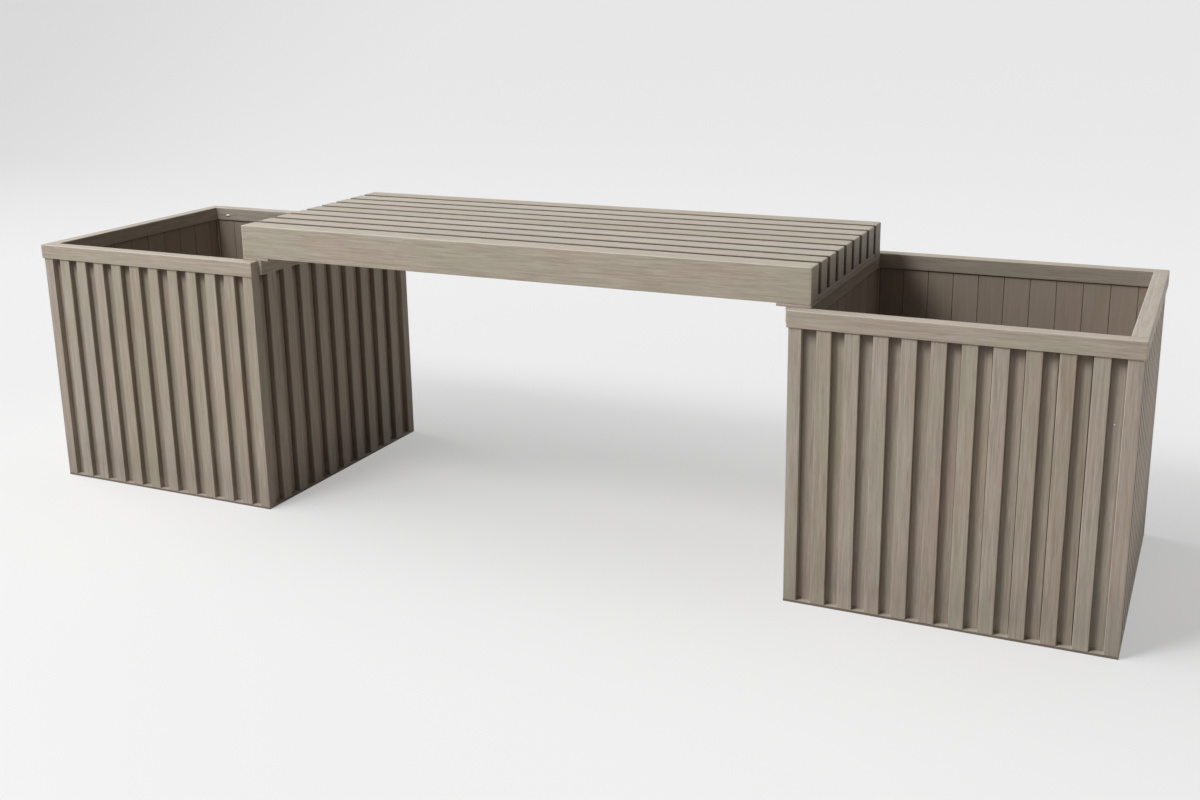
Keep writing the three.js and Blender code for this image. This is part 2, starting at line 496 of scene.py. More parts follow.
@dataclass
class TimberMesh:
    """Collects timbers into one mesh with the values that the finish reads."""

    name: str
    points: list[Vector] = field(default_factory=list)
    faces: list[list[int]] = field(default_factory=list)
    grain: list[Vector] = field(default_factory=list)
    wear: list[float] = field(default_factory=list)
    tone: list[float] = field(default_factory=list)
    soil: list[float] = field(default_factory=list)

    def loft(self, seating: Seating, rings: list[Ring], heart: Vector, tone: float) -> None:
        """Adds a closed timber through rings of equal length, with a flat face at each end.

        Args:
            seating: Where the timber lies.
            rings: The rings, each of (along, across, deep, rubbing with painted light, painted shade with
                joint dark).
            heart: Shifts the grain, so that no two timbers show the same figure.
            tone: How dark or pale the board is, from -1 to 1.
        """
        self.faces += tube_faces(len(self.points), len(rings), len(rings[0]))
        for along, across, deep, wear, soil in (spot for ring in rings for spot in ring):
            self.points.append(seating.point(along, across, deep))
            self.grain.append(Vector((along, across, deep)) + heart)
            self.wear.append(wear)
            self.tone.append(tone)
            self.soil.append(soil)

    def finish(self, material: Material) -> Piece:
        """Makes the object, with normals that keep the flat faces flat beside the rounded arrises.

        Args:
            material: The finish of the timbers.

        Returns:
            The object, in place in the part's frame.
        """
        mesh = bpy.data.meshes.new(self.name)
        mesh.from_pydata([tuple(p) for p in self.points], [], self.faces)
        mesh.validate()
        grain = mesh.attributes.new("grain", "FLOAT_VECTOR", "POINT")
        grain.data.foreach_set("vector", [c for p in self.grain for c in p])
        for name, values in (("wear", self.wear), ("tone", self.tone), ("soil", self.soil)):
            mesh.attributes.new(name, "FLOAT", "POINT").data.foreach_set("value", values)
        mesh.shade_smooth()
        mesh.set_sharp_from_angle(angle=TIMBER_CREASE)
        mesh.materials.append(material)
        made = placed(self.name, mesh)
        weighted = made.modifiers.new("flat_faces", "WEIGHTED_NORMAL")
        weighted.keep_sharp = True
        weighted.weight = 100
        return made


def grain_shift(name: str, number: int = 0) -> tuple[Vector, float]:
    """The grain's shift and the tone of one board, the same on every run.

    Args:
        name: The name of the piece that the board belongs to.
        number: The board's number in it.

    Returns:
        The shift, whose second and third numbers set the board off from the tree's heart, and the tone.
    """
    draw = random.Random(f"{name}/{number}")
    angle = draw.uniform(0.2, math.pi - 0.2)
    reach = draw.uniform(35, 130) * MM
    shift = Vector((draw.uniform(2.0, 90.0), reach * math.cos(angle), reach * math.sin(angle)))
    return shift, draw.uniform(-1, 1)


def turn_wear(share: float) -> float:
    """How far an arris is paled by rubbing and a painted highlight, most in the middle of its turn; the share
    runs from 0 to 1.
    """
    return 0.6 + 0.4 * math.sin(share * math.pi)


@dataclass
class Plank:
    """A straight timber of rectangular section with eased arrises and ends."""

    node: str
    grain: Axis
    slot: Slot
    arris: float = 1.6 * MM
    end_ease: float = 0.9 * MM
    rub_width: float = 2.6 * MM
    # Painted shade: faces that look these ways, into a seat gap, into the planter, out at the ground, are
    # painted darker
    soiled_ways: tuple[tuple[int, int], ...] = ()
    way_soil: float = 1.0
    soil_reach: float = 0.6
    # Painted light: upper faces are painted paler, as if lit
    top_wear: float = 0.0
    # Painted shade, darker towards the foot of a post
    foot_soil: float = 0.0
    foot_reach: float = 110 * MM
    station: float = 26 * MM
    arc_steps: int = 3
    least_arris: float = 0.25 * MM
    arris_swing: float = 0.22
    rub_limit: float = 0.22
    ease_limit: float = 0.2
    end_rub_limit: float = 0.3
    end_rub_start: float = 0.8
    # Rubbing and painted highlight on an eased end's turn, at its edges and in its middle
    end_face_wear: Pair = (0.6, 0.9)

    def section(
        self, width: float, depth: float, inset: float, arris: float, worn_and_lit: float
    ) -> list[SectionPoint]:
        """One outline of the plank, counter-clockwise in its across and deep directions.

        Args:
            width: The plank's size across.
            depth: The plank's size through.
            inset: How far the outline lies inside the full section.
            arris: The radius of the long arrises here.
            worn_and_lit: The least rubbing and painted highlight of any point of it.

        Returns:
            The points as (across, deep, rubbing with painted light, painted shade).
        """
        half_w, half_d = width / 2 - inset, depth / 2 - inset
        radius = max(arris - inset, self.least_arris)
        rub = min(self.rub_width, self.rub_limit * min(width, depth))
        points: list[SectionPoint] = []
        for quarter, (sign_w, sign_d) in enumerate(((1, 1), (-1, 1), (-1, -1), (1, -1))):
            centre = Vector((sign_w * (half_w - radius), sign_d * (half_d - radius)))
            arc = []
            for step in range(self.arc_steps + 1):
                share = step / self.arc_steps
                angle = (quarter + share) * math.pi / 2
                spot = centre + radius * Vector((math.cos(angle), math.sin(angle)))
                arc.append((*spot, max(worn_and_lit, self.face_wear(angle), turn_wear(share)), self.soil_at(angle)))
            turns = [(quarter + turn) * math.pi / 2 for turn in (0, 1)]
            back, onward = (rub * Vector((math.cos(a), math.sin(a))).orthogonal() for a in turns)
            start_wear_and_light, end_wear_and_light = (max(worn_and_lit, self.face_wear(a)) for a in turns)
            points.append((arc[0][0] - back.x, arc[0][1] - back.y, start_wear_and_light, arc[0][3]))
            points.extend(arc)
            points.append((arc[-1][0] + onward.x, arc[-1][1] + onward.y, end_wear_and_light, arc[-1][3]))
        return points

    def face_wear(self, angle: float) -> float:
        """How much painted light a face at this angle takes: the upper one is painted paler, as where the
        light falls on it.
        """
        return self.top_wear if math.sin(angle) > self.soil_reach else 0.0

    def soil_at(self, angle: float) -> float:
        """How much painted shade a face at this angle takes: those that look one of the shaded ways are
        painted darker.
        """
        looks = [math.cos(angle) * across + math.sin(angle) * deep for across, deep in self.soiled_ways]
        return self.way_soil if any(look > self.soil_reach for look in looks) else 0.0

    def rings(self, length: float, width: float, depth: float) -> list[Ring]:
        """The rings of the plank from one end to the other.

        Args:
            length: The plank's size along the grain.
            width: Its size across.
            depth: Its size through.

        Returns:
            The rings.
        """
        draw = random.Random(self.node)
        edge_wear, middle_wear_and_highlight = self.end_face_wear
        ease = min(self.end_ease, self.ease_limit * min(width, depth))
        rub = min(self.rub_width, self.end_rub_limit * min(width, depth))
        turn = TURN_MIDDLE * ease
        ends = [(0.0, ease + self.end_rub_start * rub, 0.0), (0.0, ease, edge_wear)]
        ends += [(turn, turn, middle_wear_and_highlight), (ease, 0.0, edge_wear), (ease + rub, 0.0, 0.0)]
        plain = length - 2 * (ease + rub)
        steps = max(2, round(plain / self.station))
        middle = [(ease + rub + plain * i / steps, 0.0, 0.0) for i in range(1, steps)]
        rows = ends + middle + [(length - along, inset, worn_and_lit) for along, inset, worn_and_lit in reversed(ends)]
        rings = []
        for along, inset, worn_and_lit in rows:
            arris = self.arris * (1 + self.arris_swing * draw.uniform(-1, 1))
            outline = self.section(width, depth, inset, arris, worn_and_lit)
            shown = 1.0 if inset <= ease else 0.0
            foot = self.foot_soil * max(0.0, 1 - along / self.foot_reach)
            rings.append([
                (along - length / 2, across, deep, wear * shown, max(soil, foot) * shown)
                for across, deep, wear, soil in outline
            ])
        return rings

    def build(self, finishes: Finishes) -> Piece:
        """Builds the plank in its node's box, and lets it stand for the node.

        Args:
            finishes: The materials by slot.

        Returns:
            The finished piece.
        """
        low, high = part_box(self.node)
        size = high - low
        order = [(self.grain.value + turn) % 3 for turn in range(3)]
        ways = [Vector([float(i == k) for i in range(3)]) for k in order]
        mesh, rings = TimberMesh(f"{self.node}_board"), self.rings(*(size[k] for k in order))
        mesh.loft(Seating((low + high) / 2, *ways), rings, *grain_shift(self.node))
        return settle(mesh.finish(finishes[self.slot]), self.slot, self.node)


def settle(piece: Piece, slot: Slot | None, *nodes: str) -> Piece:
    """Lets a piece ride on the body and stand for its CAD nodes.

    Args:
        piece: The finished piece.
        slot: The record's slot of its finish, or None for hardware; not used.
        nodes: The CAD nodes that it stands for.

    Returns:
        The same piece.
    """
    if nodes:
        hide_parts(*nodes)
    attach(piece, ROOT_BODY)
    return piece


@dataclass
class RibbedPanel:
    """A planter wall of tongue-and-groove boards, each one a raised rib with a sunk field beside it."""

    planter: str
    side: Side
    outer: float = 222.5 * MM
    rib_count: int = 10
    rib_width: float = 20.4 * MM
    rib_depth: float = 9 * MM
    thickness: float = 16 * MM
    clear_half: float = 204 * MM
    shifts: tuple[int, ...] = ()
    joint_width: float = 1.6 * MM
    joint_depth: float = 2 * MM
    vee_half: float = 0.6 * MM
    vee_depth: float = 1.0 * MM
    tongue_length: float = 2.8 * MM
    tongue_slack: float = 0.15 * MM
    tongue_inset: float = 2 * MM
    closed_gap: float = 0.1 * MM
    lip: float = 0.35 * MM
    # The lip at a joint's shoulder, each as (rubbing and painted highlight, painted shade), on its face and
    # its side
    lip_face: Pair = (0.2, 0.06)
    lip_side: Pair = (0.3, 0.6)
    arris: float = 0.8 * MM
    foot: float = 0.6 * MM
    foot_turn: float = 0.3
    foot_spread: float = 4.0
    rub_width: float = 1.2 * MM
    arris_swing: float = 0.2
    # Rubbing and painted highlight on the rib's arrises
    arris_wear: float = 0.62
    # Painted shade on each rib's side and in the field beside it, on the end walls' near sides, inside and in
    # the corners
    side_soil: float = 0.48
    near_soil: float = 0.0
    field_share: float = 0.5
    upper_shares: Pair = (0.8, 0.7)
    past_foot_share: float = 0.3
    inner_soil: float = 0.18
    corner_soil: float = 0.8
    corner_reach: float = 3 * MM
    # Painted shadow that the rim casts on the sunk fields, and a painted shade line along the rim
    rim_soil: float = 0.95
    rim_reach: float = 27 * MM
    rim_fall: float = 1.3
    seam_soil: float = 0.5
    seam_reach: float = 2 * MM
    inner_seam_reach: float = 3.4 * MM
    seam_range: Pair = (0.3, 1.0)
    # Painted shade, darker towards the wall's foot
    foot_soil: float = 0.2
    foot_reach: float = 110 * MM
    near_rim: tuple[float, ...] = (0.05 * MM, 1.2 * MM, 2.4 * MM, 6 * MM, 10 * MM, 15 * MM, 20 * MM)
    station: float = 28 * MM
    arc_steps: int = 3

    @property
    def node(self) -> str:
        """The CAD node that the panel stands for."""
        return f"{self.planter}_wall_{self.side.label}"

    @property
    def field_width(self) -> float:
        """The width of each sunk field."""
        return (2 * self.clear_half - self.rib_count * self.rib_width) / (self.rib_count + 1)

    def rib_start(self, number: int) -> float:
        """Where a rib's left side stands along the wall, counted from 1, with the unevenness of its board."""
        shift = self.shifts[number - 1] * MM if self.shifts else 0.0
        return number * self.field_width + (number - 1) * self.rib_width - self.clear_half + shift

    def arc(self, centre: float, radius: float, start: float) -> list[SectionPoint]:
        """A quarter turn round one of the rib's arrises.

        Args:
            centre: Where the middle of the turn stands along the rib; it lies one radius deep.
            radius: The radius of the turn.
            start: The angle it starts at, in quarter turns.

        Returns:
            The points of the turn.
        """
        points = []
        for step in range(self.arc_steps + 1):
            share = step / self.arc_steps
            angle = (start + share) * math.pi / 2
            spot = (centre + radius * math.cos(angle), radius + radius * math.sin(angle))
            points.append((*spot, self.arris_wear * turn_wear(share), 0.0))
        return points

    def left_edge(self, seam: float) -> list[SectionPoint]:
        """The grooved left edge of a ribbed board, from the inner face out to the rib's side.

        Args:
            seam: How dark the seam is inside, from 0 to 1.

        Returns:
            The points of the edge.
        """
        sunk, inner = self.rib_depth, self.thickness
        top, low = sunk + self.joint_depth - self.tongue_slack, inner - self.tongue_inset + self.tongue_slack
        reach = self.tongue_length + self.tongue_slack
        return [
            (self.vee_half, inner, INSIDE_SHADE, self.inner_soil),
            (0.0, inner - self.vee_depth, INSIDE_SHADE, seam),
            (0.0, low, 0.0, 1.0),
            (reach, low, 0.0, 1.0),
            (reach, top, 0.0, 1.0),
            (0.0, top, 0.0, 1.0),
            (0.0, sunk, 0.0, max(self.field_share * self.side_soil, self.near_soil)),
        ]

    def right_edge(self, end: float, tongue: bool, seam: float) -> list[SectionPoint]:
        """The right edge of a board, from the sunk face in to the inner face.

        Args:
            end: Where the board's pitch ends.
            tongue: Whether the edge has a tongue, or is cut plain against the post.
            seam: How dark the seam is inside, from 0 to 1.

        Returns:
            The points of the edge.
        """
        sunk, inner = self.rib_depth, self.thickness
        if not tongue:
            near = end - self.corner_reach
            outside = [(near, sunk, 0.0, 0.0), (end, sunk, 0.0, self.side_soil)]
            inside = [(end, inner, INSIDE_SHADE, self.corner_soil), (near, inner, INSIDE_SHADE, self.inner_soil)]
            return outside + inside
        shoulder, close = end - self.joint_width, end - self.closed_gap
        top, low = sunk + self.joint_depth, inner - self.tongue_inset
        return [
            (shoulder - self.lip, sunk, *self.lip_face),
            (shoulder, sunk + self.lip, *self.lip_side),
            (shoulder, top, 0.0, 1.0),
            (end + self.tongue_length, top, 0.0, 1.0),
            (end + self.tongue_length, low, 0.0, 1.0),
            (close, low, 0.0, 1.0),
            (close, inner - self.vee_depth, INSIDE_SHADE, seam),
            (end - self.vee_half, inner, INSIDE_SHADE, self.inner_soil),
        ]

    def rib(self, arris: float) -> list[SectionPoint]:
        """The rib's outline from its left side over its face to the foot on its right.

        Args:
            arris: The radius of the rib's arrises here.

        Returns:
            The points of the outline.
        """
        rub, right, sunk = self.rub_width, self.rib_width, self.rib_depth
        foot, soil, turn = self.foot, self.side_soil, self.foot_turn * self.foot
        left_share, right_share = self.upper_shares
        return [
            (0.0, arris + rub, 0.0, left_share * self.near_soil),
            *self.arc(arris, arris, 2),
            (arris + rub, 0.0, 0.0, 0.0),
            (right - arris - rub, 0.0, 0.0, 0.0),
            *self.arc(right - arris, arris, 3),
            (right, arris + rub, 0.0, right_share * soil),
            (right, sunk - foot, 0.0, soil),
            (right + turn, sunk - turn, 0.0, soil),
            (right + foot, sunk, 0.0, self.past_foot_share * soil),
            (right + self.foot_spread * foot, sunk, 0.0, 0.0),
        ]

    def seam(self, number: int) -> float:
        """How dark the seam to the left of a board is inside, the same on every run."""
        return random.Random(f"{self.node}/{number}/seam").uniform(*self.seam_range)

    def board(self, number: int, start: float, end: float, arris: float) -> list[SectionPoint]:
        """The section of one board in the wall's along and inward directions.

        Args:
            number: The board's number; 0 is the narrow starter without a rib.
            start: Where the board starts along the wall.
            end: Where its pitch ends.
            arris: The radius of the rib's arrises here.

        Returns:
            The section's points, each as (along the wall, inwards, rubbing with painted light, painted shade
            with joint dark).
        """
        if number == 0:
            near, sunk, inner = self.corner_reach, self.rib_depth, self.thickness
            outline = [(near, inner, INSIDE_SHADE, self.inner_soil), (0.0, inner, INSIDE_SHADE, self.corner_soil)]
            outline += [(0.0, sunk, 0.0, self.side_soil), (near, sunk, 0.0, 0.0)]
        else:
            outline = [*self.left_edge(self.seam(number)), *self.rib(arris)]
        outline += self.right_edge(end - start, number < self.rib_count, self.seam(number + 1))
        return [(start + u, d, wear, soil) for u, d, wear, soil in outline]

    def stations(self, height: float) -> list[float]:
        """How far below the rim each ring lies, close together near the rim.

        Args:
            height: The wall's height.

        Returns:
            The distances, from the bottom of the wall to its top.
        """
        steps = max(2, round((height - self.rim_reach) / self.station))
        plain = [height - (height - self.rim_reach) * i / steps for i in range(steps + 1)]
        return [*plain, *reversed(self.near_rim), 0.0]

    def grime(self, below: float, above: float, deep: float, soil: float) -> float:
        """How much painted shade a point takes: the shadow on the sunk faces under the rim, the shadow line
        along the rim, and more towards the wall's foot.

        Args:
            below: How far below the rim the point is.
            above: How far above the wall's foot it is.
            deep: How far it lies behind the ribs' faces.
            soil: The painted shade and joint dark of the section there.

        Returns:
            The painted shade and joint dark, from 0 to 1.
        """
        if deep > self.thickness - MM:
            return max(soil, 1 - below / self.inner_seam_reach)
        sunk = min(max(deep / self.rib_depth, 0.0), 1.0)
        fade = max(0.0, 1 - below / self.rim_reach)
        seam = self.seam_soil * max(0.0, 1 - below / self.seam_reach)
        low = self.foot_soil * max(0.0, 1 - above / self.foot_reach)
        return max(soil, seam, self.rim_soil * sunk * fade ** self.rim_fall, low)

    def build(self, finishes: Finishes) -> Piece:
        """Builds the wall's boards in the node's box.

        Args:
            finishes: The materials by slot.

        Returns:
            The finished panel.
        """
        low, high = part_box(self.node)
        centre = planter_centre(self.planter)
        along, outward = self.side.along, self.side.outward
        reach = max(abs((high - centre).dot(along)), abs((low - centre).dot(along)))
        bottom, height = low.z, high.z - low.z
        origin = Vector((centre.x, centre.y, bottom + height / 2)) + outward * self.outer
        seating = Seating(origin, Vector((0, 0, 1)), along, -outward)
        mesh = TimberMesh(f"{self.node}_panel")
        for number in range(self.rib_count + 1):
            start = -reach if number == 0 else self.rib_start(number)
            end = reach if number == self.rib_count else self.rib_start(number + 1)
            draw = random.Random(f"{self.node}/{number}/arris")
            rings = []
            for below in self.stations(height):
                arris = self.arris * (1 + self.arris_swing * draw.uniform(-1, 1))
                shown = 0.0 if below in (0.0, height) else 1.0
                rings.append([
                    (height / 2 - below, u, d, wear, shown * self.grime(below, height - below, d, soil))
                    for u, d, wear, soil in self.board(number, start, end, arris)
                ])
            mesh.loft(seating, rings, *grain_shift(self.node, number))
        return settle(outside_out(mesh.finish(finishes[Slot.WALL])), Slot.WALL, self.node)


def outside_out(piece: Piece) -> Piece:
    """Turns every face of a piece's closed solids outwards.

    Args:
        piece: The piece.

    Returns:
        The same piece.
    """
    made = bmesh.new()
    made.from_mesh(piece.data)
    bmesh.ops.recalc_face_normals(made, faces=made.faces)
    made.to_mesh(piece.data)
    made.free()
    return piece


def planter_centre(planter: str) -> Vector:
    """The middle of a planter on the ground, from two of its posts.

    Args:
        planter: The planter's name.

    Returns:
        The place.
    """
    boxes = [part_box(f"{planter}_post_{corner}") for corner in ("front_left", "back_right")]
    middle = (boxes[0][0] + boxes[1][1]) / 2
    return Vector((middle.x, middle.y, 0))


@dataclass
class Planter:
    """One planter box: capping rails, corner posts, four ribbed walls, a base frame and floor boards."""

    name: str
    front_shifts: tuple[int, ...]
    floor_count: int = 5
    end_rib_count: int = 9
    end_rib_width: float = 21.2 * MM
    # Painted shade on the posts' feet, the rims' inner faces and the base's outer faces
    foot_soil: float = 0.2
    rail_soil: float = 0.2
    base_soil: float = 0.7
    # Painted shade on the near sides of the end walls' ribs
    end_near_soil: float = 0.5

    def planks(self) -> list[Plank]:
        """All the straight timbers of the planter; each kind has its slot, arris, end ease, and the width of
        the band that rubbing and the painted highlight pale.

        Returns:
            The timbers.
        """
        n, fronts, ends = self.name, ("front", "back"), ("left", "right")
        inward = {"front": (1, 0), "back": (-1, 0), "left": (0, 1), "right": (0, -1)}
        outward = {side: ((-across, -deep),) for side, (across, deep) in inward.items()}
        rail, base = (Slot.RIM, 1.2 * MM), (Slot.INNER, 0.7 * MM)
        post = (Slot.WALL, 0.9 * MM, 0.3 * MM, 1.8 * MM)
        long_rail, short_rail = (*rail, 1.0 * MM, 2.2 * MM), (*rail, 0.15 * MM, 2.2 * MM)
        long_base, short_base = (*base, 0.5 * MM, 1.0 * MM), (*base, 0.2 * MM, 1.0 * MM)
        corners = ("front_left", "front_right", "back_right", "back_left")
        soil = self.base_soil
        return [
            *(Plank(f"{n}_rim_{s}", Axis.X, *long_rail, (inward[s],), self.rail_soil) for s in fronts),
            *(Plank(f"{n}_rim_{s}", Axis.Y, *short_rail) for s in ends),
            *(Plank(f"{n}_post_{c}", Axis.Z, *post, foot_soil=self.foot_soil) for c in corners),
            # The base's front and back: painted shade on their outer faces, and painted light on their tops
            *(Plank(f"{n}_base_{s}", Axis.X, *long_base, outward[s], soil, top_wear=1.0) for s in fronts),
            *(Plank(f"{n}_base_{s}", Axis.Y, *short_base, outward[s], soil) for s in ends),
            *(Plank(f"{n}_floor_{i}", Axis.X, Slot.INNER) for i in range(1, self.floor_count + 1)),
        ]

    def build(self, finishes: Finishes) -> list[Piece]:
        """Builds every piece of the planter."""
        pieces = [plank.build(finishes) for plank in self.planks()]
        return pieces + [self.panel(side).build(finishes) for side in Side]

    def panel(self, side: Side) -> RibbedPanel:
        """The wall on one side: the end walls have fewer and wider ribs, and the front's are uneven.

        Args:
            side: The side of the planter.

        Returns:
            The wall.
        """
        if side.is_end:
            sizes = {"rib_count": self.end_rib_count, "rib_width": self.end_rib_width}
            return RibbedPanel(self.name, side, **sizes, near_soil=self.end_near_soil)
        return RibbedPanel(self.name, side, shifts=self.front_shifts if side is Side.FRONT else ())


@dataclass
class Seat:
    """The slatted seat: nine boards on edge over two bearers, with strips and battens underneath."""

    slat_count: int = 7
    arris: float = 1.4 * MM
    end_ease: float = 2.0 * MM
    rub_width: float = 2.2 * MM
    soil_reach: float = 0.35
    # Painted light on the tops of the seat's boards
    top_wear: float = 0.3

    def planks(self) -> list[Plank]:
        """All the timbers of the seat but the rebated bearers.

        Returns:
            The timbers.
        """
        gaps = {"seat_front": ((1, 0),), "seat_back": ((-1, 0),)}
        gaps.update({f"slat_{i}": ((1, 0), (-1, 0)) for i in range(1, self.slat_count + 1)})
        sizes = (self.arris, self.end_ease, self.rub_width)
        boards = [
            Plank(name, Axis.X, Slot.SEAT, *sizes, ways, soil_reach=self.soil_reach, top_wear=self.top_wear)
            for name, ways in gaps.items()
        ]
        under = [
            Plank(f"{kind}_{side}", Axis.Y, Slot.BEARER, 0.8 * MM, 0.6 * MM, 1.4 * MM)
            for kind in ("strip", "batten") for side in ("left", "right")
        ]
        return boards + under

    def build(self, finishes: Finishes) -> list[Piece]:
        """Builds every piece of the seat."""
        pieces = [plank.build(finishes) for plank in self.planks()]
        return pieces + [Bearer(f"bearer_{side}").build(finishes) for side in ("left", "right")]


@dataclass
class Bearer:
    """A cross board under the seat's end, full height between thin lips under the two outer boards."""

    node: str
    outer_board: float = 34 * MM
    lip: float = 4 * MM
    ease: float = 0.7 * MM
    rub_width: float = 2 * MM
    # Paler rubbing and painted light on the bearer's two broad faces
    edge_wear: float = 0.6

    def outline(self, length: float, height: float) -> list[Pair]:
        """The bearer's side view, stepped down to a lip at each end.

        Args:
            length: Its size from front to back.
            height: Its full height.

        Returns:
            The points as (along, up), from the middle of its box.
        """
        half, low, high = length / 2, -height / 2, height / 2
        step, top = half - self.outer_board, -height / 2 + self.lip
        rear = [(half, low), (half, top), (step, top), (step, high)]
        return [(-half, low), *rear, (-step, high), (-step, top), (-half, top)]

    def build(self, finishes: Finishes) -> Piece:
        """Builds the bearer in its node's box, with all its long arrises eased.

        Args:
            finishes: The materials by slot.

        Returns:
            The finished piece.
        """
        low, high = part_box(self.node)
        size = high - low
        half, rub = size.x / 2, self.rub_width
        seating = Seating((low + high) / 2, Vector((0, 1, 0)), Vector((0, 0, 1)), Vector((1, 0, 0)))
        mesh = TimberMesh(f"{self.node}_board")
        rows = [(-half, self.edge_wear), (rub - half, 0.0), (half - rub, 0.0), (half, self.edge_wear)]
        outline = self.outline(size.y, size.z)
        rings = [[(u, v, depth, wear, 0.0) for u, v in outline] for depth, wear in rows]
        mesh.loft(seating, rings, *grain_shift(self.node))
        piece = outside_out(mesh.finish(finishes[Slot.BEARER]))
        bevel = piece.modifiers.new("eased", "BEVEL")
        bevel.width, bevel.segments, bevel.limit_method = self.ease, 2, "ANGLE"
        piece.modifiers.move(1, 0)
        return settle(piece, Slot.BEARER, self.node)


@dataclass
class MetalHeads:
    """The low domed heads of small fasteners that sit in a timber's face, made as one piece of hardware."""

    name: str
    spots: list[Vector]
    facing: Vector
    radius: float = 1.0 * MM
    height: float = 0.5 * MM
    stretch: float = 0.0
    sunk: float = 0.4 * MM
    sides: int = 24

    def rows(self) -> list[Pair]:
        """The dome's outline from its buried foot to its crown.

        Returns:
            Its points, as (radius, height).
        """
        dome = ((1.0, 0.0), (1.0, 0.35), (0.93, 0.62), (0.75, 0.85), (0.45, 0.97), (0.15, 1.0))
        rows = [(share * self.radius, rise * self.height) for share, rise in dome]
        return [(self.radius, -self.sunk), *rows]

    def build(self, material: Material) -> Piece:
        """Builds the heads; a stretched one is a bar with round ends.

        Args:
            material: The finish of the metal.

        Returns:
            The piece, in place.
        """
        across = Vector((0, 0, 1)).cross(self.facing).normalized()
        up = self.facing.cross(across)
        points: list[Vector] = []
        faces: list[list[int]] = []
        for spot in self.spots:
            rows = self.rows()
            faces += tube_faces(len(points), len(rows), self.sides)
            for reach, height in rows:
                for i in range(self.sides):
                    angle = 2 * math.pi * (i + 0.5) / self.sides
                    shift = math.copysign(self.stretch / 2, math.cos(angle))
                    ring = across * (reach * math.cos(angle) + shift) + up * (reach * math.sin(angle))
                    points.append(spot + self.facing * height + ring)
        mesh = bpy.data.meshes.new(self.name)
        mesh.from_pydata([tuple(p) for p in points], [], faces)
        mesh.validate()
        mesh.shade_smooth()
        mesh.set_sharp_from_angle(angle=HEAD_CREASE)
        mesh.materials.append(material)
        return settle(outside_out(placed(self.name, mesh)), None)


@dataclass
class Hardware:
    """The few fasteners that show: a bar and a brad in the left back rail, and a brad in the right front."""

    bar_spot: Pair = (-0.8441, 0.4055)
    rail_brad: Pair = (-0.8344, 0.4070)
    wall_brad: Pair = (0.8615, 0.3084)

    def build(self, material: Material) -> list[Piece]:
        """Builds the fasteners on the faces that carry them.

        Args:
            material: The finish of the metal.

        Returns:
            The pieces.
        """
        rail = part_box("left_rim_back")[0].y
        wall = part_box("right_wall_front")[0].y + RibbedPanel.rib_depth
        faces = ((self.bar_spot, rail), (self.rail_brad, rail), (self.wall_brad, wall))
        places = [Vector((x, face, z)) for (x, z), face in faces]
        front = Vector((0, -1, 0))
        bar = MetalHeads("corner_bar", places[:1], front, 1.5 * MM, 1.3 * MM, 6.4 * MM)
        return [bar.build(material), MetalHeads("brads", places[1:], front).build(material)]


@dataclass(frozen=True)
class PhotoCamera:
    """The camera at the photograph's angle, in pixels of a 1200 by 800 image."""

    place: Triple = (0.97101, -1.93258, 0.84639)
    yaw: float = 0.43313
    pitch: float = -0.25402
    roll: float = -0.01413
    focal: float = 1372.629
    centre: Pair = (607.869, 337.089)
    sensor: float = 36.0
    clip: Pair = (0.05, 400.0)

    def build(self) -> Piece:
        """Makes the camera and gives it to the scene.

        Returns:
            The camera.
        """
        flat = math.cos(self.pitch)
        sight = Vector((-math.sin(self.yaw) * flat, math.cos(self.yaw) * flat, math.sin(self.pitch)))
        level = Vector((math.cos(self.yaw), math.sin(self.yaw), 0))
        rise = level.cross(sight)
        right = level * math.cos(self.roll) + rise * math.sin(self.roll)
        up = rise * math.cos(self.roll) - level * math.sin(self.roll)
        data = bpy.data.cameras.new("photo_camera")
        data.sensor_width = self.sensor
        data.lens = self.focal / IMAGE_WIDTH * self.sensor
        data.shift_x = (IMAGE_WIDTH / 2 - self.centre[0]) / IMAGE_WIDTH
        data.shift_y = (self.centre[1] - IMAGE_HEIGHT / 2) / IMAGE_WIDTH
        data.clip_start, data.clip_end = self.clip
        made = placed("photo_camera", data)
        turned = Matrix((right, up, -sight)).transposed().to_4x4()
        made.matrix_world = Matrix.Translation(self.place) @ turned
        bpy.context.scene.camera = made
        return made


class LampKind(Enum):
    """The kinds of lamp, each with the energy that a level of 1 takes at a distance of one metre."""

    SUN = math.pi
    AREA = math.pi ** 2
    SPOT = 4 * math.pi ** 2


@dataclass(frozen=True)
class Lamp:
    """A soft lamp out of the picture; a level of 1 lights a white wall that faces it to white."""

    name: str
    kind: LampKind
    place: Triple
    width: float
    level: float
    aim: Triple = (0.0, 0.0, 0.0)
    cone: float = 0.0

    def build(self) -> Piece:
        """Makes the lamp, whose width is a sun's angle, a softbox's side or a spot's radius.

        Returns:
            The lamp.
        """
        away, near = Vector(self.place) - Vector(self.aim), self.kind is not LampKind.SUN
        data = bpy.data.lights.new(self.name, self.kind.name)
        data.energy = self.level * self.kind.value * (away.length_squared if near else 1.0)
        made = placed(self.name, data)
        made.rotation_mode = "QUATERNION"
        made.rotation_quaternion = away.to_track_quat("Z", "Y")
        if near:
            made.location = self.place
        if self.kind is LampKind.SUN:
            data.angle = self.width
        elif self.kind is LampKind.AREA:
            data.shape, data.size = "SQUARE", self.width
            made.visible_camera = False
        else:
            data.spot_size, data.spot_blend, data.shadow_soft_size = math.radians(self.cone), 1.0, self.width
        return made


